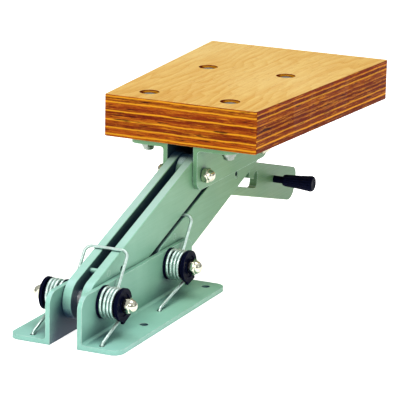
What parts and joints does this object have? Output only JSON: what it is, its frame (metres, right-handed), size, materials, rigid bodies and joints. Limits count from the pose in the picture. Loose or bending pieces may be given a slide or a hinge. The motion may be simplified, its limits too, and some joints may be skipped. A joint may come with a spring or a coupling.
{
  "type": "outboard motor bracket",
  "caption": "Spring-assisted parallelogram bracket that lifts a plywood motor pad on a boat transom, with a notched latch bar.",
  "frame": {"origin": "centre of the four transom bolt holes, on the face that meets the transom", "axes": "+Z away from the transom, +Y up along the transom angles, +X along the pivot studs"},
  "size_m": [0.2146, 0.5595, 0.187],
  "materials": {
    "green_paint": "satin pale green coating on aluminium",
    "plywood": "oiled plywood with open edges",
    "stainless": "bright stainless",
    "spring_wire": "bright stainless wire",
    "bare_aluminium": "turned",
    "black_nylon": "moulded, dark blue-black"
  },
  "bodies": {
    "transom_mount": {"far_lower_nut_left": "stainless", "far_lower_nut_right": "stainless", "far_lower_stud": "stainless", "far_spring_cap_left": "black_nylon", "far_spring_cap_right": "black_nylon", "far_spring_coil_left": "spring_wire", "far_spring_coil_right": "spring_wire", "far_spring_spool_left": "black_nylon", "far_spring_spool_right": "black_nylon", "near_lower_nut_left": "stainless", "near_lower_nut_right": "stainless", "near_lower_stud": "stainless", "near_spring_cap_left": "black_nylon", "near_spring_cap_right": "black_nylon", "near_spring_coil_left": "spring_wire", "near_spring_coil_right": "spring_wire", "near_spring_spool_left": "black_nylon", "near_spring_spool_right": "black_nylon", "transom_angle_left": "green_paint", "transom_angle_right": "green_paint"},
    "near_arm": {"near_arm_bar_left": "green_paint", "near_arm_bar_right": "green_paint", "near_arm_rivet": "green_paint", "near_arm_spacer": "bare_aluminium", "near_spring_bail": "spring_wire"},
    "far_arm": {"far_arm_bar_left": "green_paint", "far_arm_bar_right": "green_paint", "far_arm_rivet": "green_paint", "far_arm_spacer": "bare_aluminium", "far_spring_bail": "spring_wire", "latch_pin_left": "green_paint", "latch_pin_right": "green_paint"},
    "motor_mount": {"board": "plywood", "board_bolt_1": "stainless", "board_bolt_2": "stainless", "board_bolt_3": "stainless", "board_bolt_4": "stainless", "board_nut_1": "stainless", "board_nut_2": "stainless", "board_nut_3": "stainless", "board_nut_4": "stainless", "board_washer_1": "stainless", "board_washer_2": "stainless", "board_washer_3": "stainless", "board_washer_4": "stainless", "far_upper_nut_left": "stainless", "far_upper_nut_right": "stainless", "far_upper_stud": "stainless", "motor_angle_left": "green_paint", "motor_angle_right": "green_paint", "near_upper_nut_left": "stainless", "near_upper_nut_right": "stainless", "near_upper_stud": "stainless"},
    "latch": {"latch_bar": "green_paint", "latch_grip": "black_nylon", "latch_grip_stud": "black_nylon"}
  },
  "joints": [
    {"name": "near_arm_swing", "type": "hinge", "parent": "transom_mount", "child": "near_arm", "pos_m": [0, -0.11175, 0.0357], "axis": [1, 0, 0], "range_deg": [0, 94], "stiffness_Nm_per_rad": 6, "springref_deg": -68.75},
    {"name": "far_arm_swing", "type": "hinge", "parent": "transom_mount", "child": "far_arm", "pos_m": [0, 0.03325, 0.0357], "axis": [1, 0, 0], "range_deg": [0, 94]},
    {"name": "motor_mount_level", "type": "hinge", "parent": "near_arm", "child": "motor_mount", "pos_m": [0, 0.11016, 0.10995], "axis": [1, 0, 0], "range_deg": [-94, 0]},
    {"name": "latch_lift", "type": "hinge", "parent": "motor_mount", "child": "latch", "pos_m": [0, 0.11016, 0.10995], "axis": [1, 0, 0], "range_deg": [-8.3, 5]}
  ],
  "couplings": [
    {"joint": "far_arm_swing", "follows": "near_arm_swing", "ratio": 1},
    {"joint": "motor_mount_level", "follows": "near_arm_swing", "ratio": -1}
  ]
}
